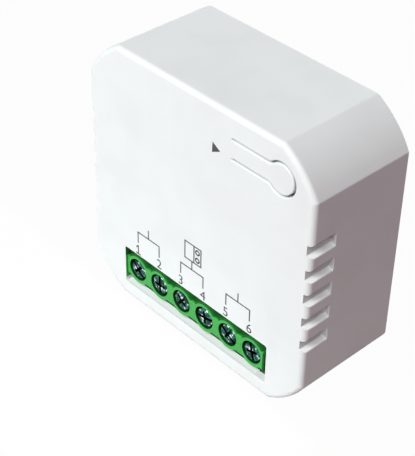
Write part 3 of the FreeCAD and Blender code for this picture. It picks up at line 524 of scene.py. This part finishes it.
# Soldered joints: a bright, concave cone of tin solder round each lead. They were made in one pass
# of the board's back over a wave of molten solder.

JOINT_RADIUS = 0.75 * MM
JOINT_HEIGHT = 0.85 * MM
JOINT_RINGS = 5
LEAD_RADIUS = 0.42 * MM
LEAD_CORE = LEAD_RADIUS * 0.3
SOLDER = (0.78, 0.78, 0.80)
SOLDER_RIPPLE = 0.5 * MM
SOLDER_RELIEF = 0.02 * MM

solder = Finish("solder", SOLDER, 0.2, metallic=1.0)
ripple = solder.noise(SOLDER_RIPPLE)
solder.set("Base Color", solder.blend(ripple, SOLDER, tinted(SOLDER, 0.85)))
solder.set("Roughness", 0.14 + ripple * 0.16)
solder.relief(ripple, SOLDER_RELIEF)


def lead_ends(name, level):
    """The middle of each of a node's leads, found from the corners past this Y level."""
    corners = [nodes[name].matrix_world @ corner.co for corner in nodes[name].data.vertices]
    ends = []
    for corner in corners:
        if corner.y < level:
            continue
        near = [end for end in ends if (end[0] - corner).length < JOINT_RADIUS * 2]
        if near:
            near[0].append(corner)
        else:
            ends.append([corner])
    return [sum(end, Vector()) / len(end) for end in ends]


joint_profile = [(LEAD_CORE, 0)]
for ring in range(JOINT_RINGS + 1):
    share = ring / JOINT_RINGS
    spread = (JOINT_RADIUS - LEAD_RADIUS) * (1 - share) ** 2
    joint_profile.append((LEAD_RADIUS + spread, JOINT_HEIGHT * share))
joint_profile.append((LEAD_CORE, JOINT_HEIGHT))

board_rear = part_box("main_board")[1].y
joints = bmesh.new()
for name in ("contact_plates", "transformer_pins", "relay_pins", "capacitor_leads", "input_leads",
             "lamp_legs", "switch_legs"):
    for end in lead_ends(name, board_rear + JOINT_HEIGHT):
        joint = as_mesh(spun(joint_profile, 16), "joint")
        place = Matrix.Translation((end.x, board_rear, end.z))
        joint.transform(place @ Matrix.Rotation(math.radians(-90), 4, "X"))
        joints.from_mesh(joint)
new_piece("solder_joints", as_mesh(joints, "solder_joints"), solder, "tinned_brass")


# Clamp cages: bent from steel strip, tapped for the screw and zinc-plated. Each hangs on its screw,
# which draws it forwards and presses the wire against the contact plate.

CAGE_STEEL = (0.55, 0.55, 0.52)
CAGE_GRAIN = 0.5 * MM

poles = range(1, 7)
cage_steel = plated("cage_steel", CAGE_STEEL, CAGE_GRAIN)
cage_steel.give(*[f"clamp_cage_{pole}" for pole in poles])


# Clamp screws: cheese heads with a slot and a cross, cold-headed from steel wire, with a rolled
# thread. Their plating is dark, with patches of painted teal reflection and painted white
# highlights, and painted shade darkens their slots.

SCREW_STEEL = (0.004, 0.042, 0.026)
PAINTED_TEAL_REFLECTION = (0.045, 0.22, 0.18)
PAINTED_HIGHLIGHT_WHITE = (0.86, 0.94, 0.93)
SLOT_SHADE = (0.004, 0.030, 0.022)
REFLECTION_PATCH = 0.85 * MM
STEEL_GRAIN = 0.3 * MM
HIGHLIGHT_RELIEF = 0.01 * MM
SLOT_SHADE_FROM = 0.25 * MM
SLOT_SHADE_FULL = 0.4 * MM
SCREW_TURN = math.radians(137.5)
SHANK_RADIUS = 1.2 * MM
THREAD_PITCH = 0.5 * MM
HEAD_HEIGHT = 1.7 * MM
HEAD_CROWN = 0.06 * MM
HEAD_BEVEL = 0.16 * MM
HEAD_ROLL = 0.08 * MM
SLOT_WIDTH = 0.5 * MM
SLOT_DEPTH = 0.75 * MM
CROSS_LENGTH = 2.2 * MM
EDGE_BREAK = 0.12 * MM

low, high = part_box("terminal_screw_1")
head_radius = (high.x - low.x) / 2
screw_length = high.y - low.y
screw_steel = Finish("screw_steel", SCREW_STEEL, 0.2, metallic=1.0)
patches = screw_steel.noise(REFLECTION_PATCH, 1.0)
# painted reflection and painted highlights: teal patches and white patches on the dark steel
steel_with_reflection = screw_steel.blend(screw_steel.step(patches, 0.42, 0.53), SCREW_STEEL, PAINTED_TEAL_REFLECTION)
painted_highlights = screw_steel.step(patches, 0.565, 0.62)
# painted shade: the slots go darker below SLOT_SHADE_FROM from the head's top
below_head = screw_length - screw_steel.along("Z")
in_slot = screw_steel.step(below_head, SLOT_SHADE_FROM, SLOT_SHADE_FULL)
screw_steel.set("Base Color", screw_steel.blend(
    in_slot, screw_steel.blend(painted_highlights, steel_with_reflection, PAINTED_HIGHLIGHT_WHITE), SLOT_SHADE))
screw_steel.set("Roughness", 0.12 + screw_steel.noise(STEEL_GRAIN, 3.0) * 0.2)
screw_steel.relief(painted_highlights, HIGHLIGHT_RELIEF)

head_foot = screw_length - HEAD_HEIGHT
crown_radius = head_radius - HEAD_BEVEL
crown = [(crown_radius * share, screw_length - HEAD_CROWN * share ** 2) for share in (0, 0.4, 0.7, 1)]
rim = rounded([crown[-2], crown[-1], (head_radius, screw_length - HEAD_CROWN - HEAD_BEVEL),
               (head_radius, head_foot), (SHANK_RADIUS, head_foot)], HEAD_ROLL)
thread = []
for turn in range(int(head_foot / THREAD_PITCH) - 1):
    crest = head_foot - THREAD_PITCH * (turn + 0.5)
    thread += [(SHANK_RADIUS, crest), (SHANK_RADIUS * 0.85, crest - THREAD_PITCH / 2)]
screw_profile = crown[:-2] + rim + thread + [(SHANK_RADIUS * 0.8, 0), (0, 0)]


def block(size, middle):
    """A plain box, for cutting with."""
    body = bmesh.new()
    bmesh.ops.create_cube(body, size=1)
    bmesh.ops.scale(body, vec=size, verts=body.verts)
    bmesh.ops.translate(body, vec=middle, verts=body.verts)
    return body


def cut_out(body, cutter, name):
    """The mesh of a body less another, with the cut's edges slightly broken."""
    holders = []
    for shape in (body, cutter):
        bmesh.ops.recalc_face_normals(shape, faces=shape.faces)
        mesh = bpy.data.meshes.new(name)
        shape.to_mesh(mesh)
        shape.free()
        holders.append(bpy.data.objects.new(name, mesh))
        bpy.context.scene.collection.objects.link(holders[-1])
    cut = holders[0].modifiers.new("cut", "BOOLEAN")
    cut.object = holders[1]
    broken = holders[0].modifiers.new("broken", "BEVEL")
    broken.width = EDGE_BREAK
    broken.angle_limit = math.radians(50)
    result = bmesh.new()
    result.from_object(holders[0], bpy.context.evaluated_depsgraph_get())
    for holder in holders:
        bpy.data.objects.remove(holder)
    return as_mesh(result, name)


slot_middle = (0, 0, screw_length - SLOT_DEPTH / 2)
for pole in poles:
    through = block((head_radius * 3, SLOT_WIDTH, SLOT_DEPTH), slot_middle)
    slotted = bmesh.new()
    slotted.from_mesh(cut_out(spun(screw_profile), through, "slotted"))
    short = block((SLOT_WIDTH, CROSS_LENGTH, SLOT_DEPTH), slot_middle)
    screw = cut_out(slotted, short, f"screw_{pole}")
    node = f"terminal_screw_{pole}"
    low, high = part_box(node)
    piece = new_piece(f"screw_head_{pole}", screw, screw_steel, "screw_steel", node, body=f"screw_{pole}")
    piece.matrix_world = (
        Matrix.Translation(((low.x + high.x) / 2, high.y, (low.z + high.z) / 2))
        @ Matrix.Rotation(math.radians(90), 4, "X") @ Matrix.Rotation(SCREW_TURN * pole, 4, "Z"))


# Terminal block: one bar of green nylon with six screw collars along its ridge, moulded with a
# half-glossy skin in which its glass fibres show as a fine mottle. Its shoulders and right end are
# matt. Painted shade darkens the faces behind the ridge's top, its shoulders and its right end, and
# painted shadow makes its bores and foot darkest.

TERMINAL_GREEN = (0.040, 0.42, 0.065)
PAINTED_SHADE_GREEN = (0.004, 0.125, 0.012)
BORE_SHADE = (0.002, 0.045, 0.010)
FIBRE_SIZE = 0.5 * MM
FIBRE_RELIEF = 0.006 * MM
COLLAR_TOP = -8.95 * MM
SHADE_FROM_DEPTH = COLLAR_TOP + 0.12 * MM
SHADE_FULL_DEPTH = COLLAR_TOP + 0.45 * MM
BORE_RADIUS = 1.92 * MM
BORE_HEIGHT = 6.35 * MM
BORE_PITCH = 5.08 * MM
BORE_SHIFT = 0.2 * MM
LIP_TOP = COLLAR_TOP - 0.02 * MM
LIP_FOOT = COLLAR_TOP + 0.08 * MM
SHOULDER_RADIUS = 2.36 * MM
SHOULDER_HEIGHT = 7.85 * MM
SHOULDER_BLUR = 0.1 * MM
MATT_SHADED_END = 14.75 * MM
MATT_SHADED_END_BLUR = 0.06 * MM
FOOT_TOP = 3.35 * MM
FOOT_BLUR = 0.2 * MM

nylon = Finish("terminal_green", TERMINAL_GREEN, 0.35, specular_ior_level=0.3)
mottle = nylon.noise(FIBRE_SIZE, 4.0)
ridge_green = nylon.blend(nylon.step(mottle, 0.35, 0.7), TERMINAL_GREEN, tinted(TERMINAL_GREEN, 0.85))
depth = nylon.along("Y")
height = nylon.along("Z")
pole_share = (nylon.along("X") + BORE_SHIFT) * (1 / BORE_PITCH)
aside = (pole_share.math("FRACT", pole_share) - 0.5) * BORE_PITCH
above = height - BORE_HEIGHT
bore_distance = aside * aside + above * above
# painted shadow: near-black green in the bores behind the collar's lip and on the foot
in_bore = (nylon.step(bore_distance, (BORE_RADIUS * 1.035) ** 2, (BORE_RADIUS * 1.005) ** 2)
           * nylon.step(depth, LIP_TOP, LIP_FOOT))
# painted shade: dark green on the shoulders, the right end and the faces behind the ridge's top
on_shoulder = (nylon.step(bore_distance, SHOULDER_RADIUS ** 2, (SHOULDER_RADIUS * 1.03) ** 2)
               * nylon.step(height, SHOULDER_HEIGHT - SHOULDER_BLUR, SHOULDER_HEIGHT + SHOULDER_BLUR))
at_end = nylon.step(nylon.along("X"), MATT_SHADED_END, MATT_SHADED_END + MATT_SHADED_END_BLUR)
at_foot = nylon.step(height, FOOT_TOP + FOOT_BLUR, FOOT_TOP)
matt_and_shaded = on_shoulder.maximum(at_end)
painted_shade = matt_and_shaded.maximum(nylon.step(depth, SHADE_FROM_DEPTH, SHADE_FULL_DEPTH))
shaded_green = nylon.blend(painted_shade, ridge_green, PAINTED_SHADE_GREEN)
nylon.set("Base Color", nylon.blend(in_bore.maximum(at_foot), shaded_green, BORE_SHADE))
nylon.set("Roughness", 0.30 + mottle * 0.14 + matt_and_shaded * 0.5)
nylon.relief(mottle, FIBRE_RELIEF)
nylon.give("terminal_housing")


# Casing: the front shell with its button tongue, and the cover that snaps into its back, all
# moulded in white ABS. The tool was spark-eroded, so the faces have a fine satin grain. The upward
# floors of the side grooves are lighter with painted light.

CASING_WHITE = (0.79, 0.86, 0.85)
CASING_SHADE = (0.765, 0.825, 0.815)
PAINTED_GROOVE_LIGHT = (0.91, 0.98, 0.96)
GROOVE_REACH = 20.5 * MM
GROOVE_BLUR = 0.5 * MM
ERODED_GRAIN = 0.16 * MM
ERODED_RELIEF = 0.004 * MM
CLOUD_SIZE = 9 * MM

casing = Finish("casing_white", CASING_WHITE, 0.42)
grain = casing.noise(ERODED_GRAIN, 3.0)
cloud = casing.noise(CLOUD_SIZE)
# painted light: the upward groove floors, out past GROOVE_REACH, are lighter
painted_floor_light = (casing.step(abs(casing.along("X")), GROOVE_REACH, GROOVE_REACH + GROOVE_BLUR)
                * casing.step(casing.facing("Z"), 0.78, 0.88))
clouded = casing.blend(casing.step(cloud, 0.35, 0.75), CASING_WHITE, CASING_SHADE)
casing.set("Base Color", casing.blend(painted_floor_light, clouded, PAINTED_GROOVE_LIGHT))
casing.set("Roughness", 0.40 + cloud * 0.08 + grain * 0.04)
casing.relief(grain, ERODED_RELIEF)
casing.give("front_shell", "button_tongue", "back_cover")


def plate(body, outline, front, thickness):
    """A thin plate on a face that looks to the front, from its (x, z) outline."""
    near = [body.verts.new((x, front - thickness, z)) for x, z in outline]
    far = [body.verts.new((x, front, z)) for x, z in outline]
    body.faces.new(near)
    body.faces.new(far[::-1])
    for number in range(len(outline)):
        after = (number + 1) % len(outline)
        body.faces.new((near[number], far[number], far[after], near[after]))


# Living hinge: the tongue is one moulding with the shell and bends at its root. The white skin of
# the moulding runs over the root and hides the joint between the two solids.

HINGE_SKIN = 0.006 * MM
HINGE_REACH = 0.16 * MM
HINGE_HALF = 1.36 * MM

front_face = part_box("front_shell")[0].y
low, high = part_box("button_tongue")
arm_middle = (low.z + high.z) / 2
skin = bmesh.new()
skin_left = low.x - HINGE_REACH
skin_right = low.x + HINGE_REACH
plate(skin, [(skin_left, arm_middle - HINGE_HALF), (skin_right, arm_middle - HINGE_HALF),
             (skin_right, arm_middle + HINGE_HALF), (skin_left, arm_middle + HINGE_HALF)],
      front_face, HINGE_SKIN)
new_piece("hinge_skin", as_mesh(skin, "hinge_skin"), casing, "casing_white")


# Window edges: the white sill below the terminals is moulded with a draft that faces the front a
# little. The terminal block's green foot stands behind it, painted near-black as painted shadow, and
# a thin green flange, moulded on the block too, lines the window's left side, its rear in painted shade.

SILL_LEFT = -15.3 * MM
SILL_RIGHT = 13.6 * MM
SILL_FOOT = 2.82 * MM
SILL_FRONT = -8.9 * MM
SILL_REAR = -8.06 * MM
SILL_RISE = 0.18 * MM
FLANGE_LEFT = -15.495 * MM
FLANGE_RIGHT = -15.465 * MM
FLANGE_FRONT = -9.2 * MM
FLANGE_REAR = -8.1 * MM
FLANGE_LOW = 3.5 * MM
FLANGE_HIGH = 9.5 * MM
FOOT_FRONT = -8.0 * MM
FOOT_REAR = -5.9 * MM
FOOT_BOTTOM = 1.6 * MM
FOOT_LEFT = -15.3 * MM
FOOT_RIGHT = 15.7 * MM


def window_bar(name, section, left, right, finish, slot):
    """A straight bar along X, from the (y, z) corners of its section."""
    body = bmesh.new()
    ends = [[body.verts.new((x, y, z)) for y, z in section] for x in (left, right)]
    for end in ends:
        body.faces.new(end)
    for number in range(len(section)):
        after = (number + 1) % len(section)
        body.faces.new((ends[0][number], ends[0][after], ends[1][after], ends[1][number]))
    new_piece(name, as_mesh(body, name), finish, slot)


def rectangle(front, rear, foot, top):
    """The (y, z) corners of an upright section."""
    return [(front, foot), (rear, foot), (rear, top), (front, top)]


sill_section = [(SILL_FRONT, SILL_FOOT), (SILL_REAR, SILL_FOOT), (SILL_REAR, SILL_FOOT + SILL_RISE)]
flange_section = rectangle(FLANGE_FRONT, FLANGE_REAR, FLANGE_LOW, FLANGE_HIGH)
foot_section = rectangle(FOOT_FRONT, FOOT_REAR, FOOT_BOTTOM, FOOT_TOP)
window_bar("window_sill", sill_section, SILL_LEFT, SILL_RIGHT, casing, "casing_white")
window_bar("end_flange", flange_section, FLANGE_LEFT, FLANGE_RIGHT, nylon, "terminal_green")
# the foot takes painted shadow from the block's finish
window_bar("block_foot", foot_section, FOOT_LEFT, FOOT_RIGHT, nylon, "terminal_green")


# Print: a pad print on the front face in dark grey ink. Brackets pair the terminals, which are
# numbered, a small sketch shows a two-part unit, and a pointer marks the lamp.

INK_GREY = (0.035, 0.04, 0.04)
INK_SPECKLE = 0.12 * MM
INK_THICKNESS = 0.015 * MM
LINE_WIDTH = 0.22 * MM
PRINT_PITCH = 4.89 * MM
PRINT_MIDDLE = -0.12 * MM
BRACKET_TOP = 14.33 * MM
BRACKET_FOOT = 12.35 * MM
TICK_TOP = 15.85 * MM
SKETCH_LEFT = -1.66 * MM
SKETCH_RIGHT = 1.80 * MM
SKETCH_FOOT = 15.9 * MM
SKETCH_TOP = 19.0 * MM
SKETCH_DIVIDER = 0.3 * MM
DIAL_RADIUS = 0.38 * MM
DIAL_SHARES = (0.27, 0.73)
NUMBER_SIZE = 2.4 * MM
NUMBER_FOOT = 10.12 * MM
FIGURE_FOOT = 0.45 * MM
FIGURE_TOP = 1.56 * MM
FIGURE_FLAG = 0.36 * MM
POINTER = ((3.70 * MM, 38.96 * MM), (3.62 * MM, 37.25 * MM), (5.24 * MM, 38.08 * MM))

ink = Finish("print_ink", INK_GREY, 0.55)
speckle = ink.noise(INK_SPECKLE, 3.0)
ink.set("Base Color", ink.blend(speckle, INK_GREY, tinted(INK_GREY, 1.8)))
ink.set("Roughness", 0.5 + speckle * 0.15)


def stroke(body, start, end):
    """A printed line of the usual width, with square ends that meet the next line's."""
    start = Vector(start)
    end = Vector(end)
    along = (end - start).normalized() * LINE_WIDTH / 2
    across = Vector((-along.y, along.x))
    start -= along
    end += along
    plate(body, [start + across, start - across, end - across, end + across], front_face, INK_THICKNESS)


def dial(body, x, z, radius, sides=20):
    """A printed ring of short lines."""
    angles = [math.tau * side / sides for side in range(sides)]
    corners = [(x + radius * math.cos(angle), z + radius * math.sin(angle)) for angle in angles]
    for corner, following in zip(corners, corners[1:] + corners[:1]):
        stroke(body, corner, following)


lines = bmesh.new()
middle_pole = (len(poles) + 1) / 2
label_places = [PRINT_MIDDLE + PRINT_PITCH * (pole - middle_pole) for pole in poles]
for left, right in zip(label_places[::2], label_places[1::2]):
    middle = (left + right) / 2
    stroke(lines, (left, BRACKET_TOP), (right, BRACKET_TOP))
    for x in (left, right):
        stroke(lines, (x, BRACKET_TOP - LINE_WIDTH), (x, BRACKET_FOOT))
    stroke(lines, (middle, TICK_TOP), (middle, BRACKET_TOP + LINE_WIDTH))
for z in (SKETCH_FOOT, SKETCH_TOP):
    stroke(lines, (SKETCH_LEFT, z), (SKETCH_RIGHT, z))
for x in (SKETCH_LEFT, SKETCH_DIVIDER, SKETCH_RIGHT):
    stroke(lines, (x, SKETCH_FOOT + LINE_WIDTH), (x, SKETCH_TOP - LINE_WIDTH))
dial_middle = (SKETCH_DIVIDER + SKETCH_RIGHT) / 2
for share in DIAL_SHARES:
    dial(lines, dial_middle, SKETCH_FOOT + (SKETCH_TOP - SKETCH_FOOT) * share, DIAL_RADIUS)
plate(lines, POINTER, front_face, INK_THICKNESS)
# the font's figure one is a bare line, so it gets a foot and a flag
one = label_places[0]
flag_top = NUMBER_FOOT + FIGURE_TOP
stroke(lines, (one - FIGURE_FOOT, NUMBER_FOOT), (one + FIGURE_FOOT, NUMBER_FOOT))
stroke(lines, (one, flag_top), (one - FIGURE_FLAG, flag_top - FIGURE_FLAG))
new_piece("front_print", as_mesh(lines, "front_print"), ink, "casing_white")

for pole, x in zip(poles, label_places):
    figure = bpy.data.curves.new(f"number_{pole}", "FONT")
    figure.body = str(pole)
    figure.size = NUMBER_SIZE
    figure.align_x = "CENTER"
    figure.extrude = INK_THICKNESS / 2
    holder = bpy.data.objects.new(f"number_{pole}", figure)
    mesh = bpy.data.meshes.new_from_object(holder)
    bpy.data.objects.remove(holder)
    piece = new_piece(f"number_{pole}", mesh, ink, "casing_white")
    piece.matrix_world = (Matrix.Translation((x, front_face - INK_THICKNESS / 2, NUMBER_FOOT))
                          @ Matrix.Rotation(math.radians(90), 4, "X"))


# Studio: a matt floor that the module stands on, with a white card laid in front of it, two soft
# lamps above the front and one low down behind. The sky is dim for the object, and floor and sky
# are white to the camera and in reflections.

FLOOR_HALF = 2.0
FLOOR_TINT = (0.25, 0.125, 0.145)
CARD_WHITE = (0.85, 0.85, 0.85)
CARD_REAR = -8 * MM
CARD_RIGHT = 30 * MM
CARD_BLUR = 4 * MM
FLOOR_GLOW_SHARE = 0.975
SKY_LIGHT = (0.040, 0.028, 0.031)
LAMP_DISTANCE = 2.0
KEY_ROSE = (1.0, 0.90, 0.94)


def seen_directly(shader):
    """1 for camera, mirror and glass rays, and 0 for the light that falls on the object."""
    camera_ray, mirror_ray, glass_ray = [
        shader.node("ShaderNodeLightPath", {}, {}, name)
        for name in ("Is Camera Ray", "Is Glossy Ray", "Is Transmission Ray")]
    return camera_ray.maximum(mirror_ray).maximum(glass_ray)


sheet = bmesh.new()
sheet.faces.new([sheet.verts.new((x * FLOOR_HALF, y * FLOOR_HALF, 0))
                 for x, y in ((-1, -1), (1, -1), (1, 1), (-1, 1))])
floor = bpy.data.objects.new("floor", as_mesh(sheet, "floor"))
bpy.context.scene.collection.objects.link(floor)
sweep = Finish("floor_sweep", FLOOR_TINT, 0.9, specular_ior_level=0.0)
card = (sweep.step(sweep.along("Y"), CARD_REAR, CARD_REAR - CARD_BLUR)
        * sweep.step(sweep.along("X"), CARD_RIGHT, CARD_RIGHT - CARD_BLUR))
sweep.set("Base Color", sweep.blend(card, FLOOR_TINT, CARD_WHITE))
glow = sweep.node("ShaderNodeEmission", {}, {"Color": (1, 1, 1), "Strength": 1.0})
lit = Channel(sweep, sweep.surface.outputs[0])
share = seen_directly(sweep) * FLOOR_GLOW_SHARE
sweep.feed(sweep.tree.nodes["Material Output"].inputs["Surface"],
           sweep.node("ShaderNodeMixShader", {}, {0: share, 1: lit, 2: glow}))
floor.data.materials.append(sweep.material)

world = bpy.data.worlds.new("studio")
world.use_nodes = True
bpy.context.scene.world = world
sky = Shader(world.node_tree)
sky.feed(world.node_tree.nodes["Background"].inputs["Color"],
         sky.blend(seen_directly(sky), SKY_LIGHT, (1, 1, 1)))


def softbox(name, direction, width, power, colour=(1, 1, 1)):
    """A square area lamp that looks at the module's middle height from a direction."""
    lamp = bpy.data.lights.new(name, "AREA")
    lamp.shape = "SQUARE"
    lamp.size = width
    lamp.energy = power
    lamp.color = colour
    holder = bpy.data.objects.new(name, lamp)
    direction = Vector(direction).normalized()
    holder.location = Vector((0, 0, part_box("front_shell")[1].z / 2)) + direction * LAMP_DISTANCE
    holder.rotation_euler = (-direction).to_track_quat("-Z", "Y").to_euler()
    bpy.context.scene.collection.objects.link(holder)


softbox("key", (-0.05, -0.715, 0.697), width=0.8, power=32.0)
softbox("key_right", (0.35, -0.52, 0.77), width=0.6, power=15.5, colour=KEY_ROSE)
softbox("back", (-0.50, 0.86, 0.05), width=0.3, power=11.0)


# Camera: stands where the photograph was taken from, above the module's front right. Its place and
# angles are fitted to the casing's edges.

CAMERA_PLACE = (109.576 * MM, -110.582 * MM, 136.844 * MM)
AZIMUTH = math.radians(46.431)
ELEVATION = math.radians(37.524)
ROLL = math.radians(1.151)
LENS_MM = 103.29
SENSOR_MM = 36
CLIP_START = 10 * MM

camera = bpy.data.cameras.new("camera")
camera.lens = LENS_MM
camera.sensor_width = SENSOR_MM
camera.clip_start = CLIP_START
stand = bpy.data.objects.new("camera", camera)
stand.matrix_world = (
    Matrix.Translation(CAMERA_PLACE) @ Matrix.Rotation(AZIMUTH, 4, "Z")
    @ Matrix.Rotation(math.radians(90) - ELEVATION, 4, "X") @ Matrix.Rotation(ROLL, 4, "Z"))
bpy.context.scene.collection.objects.link(stand)
bpy.context.scene.camera = stand
bpy.context.scene.view_settings.view_transform = "Standard"
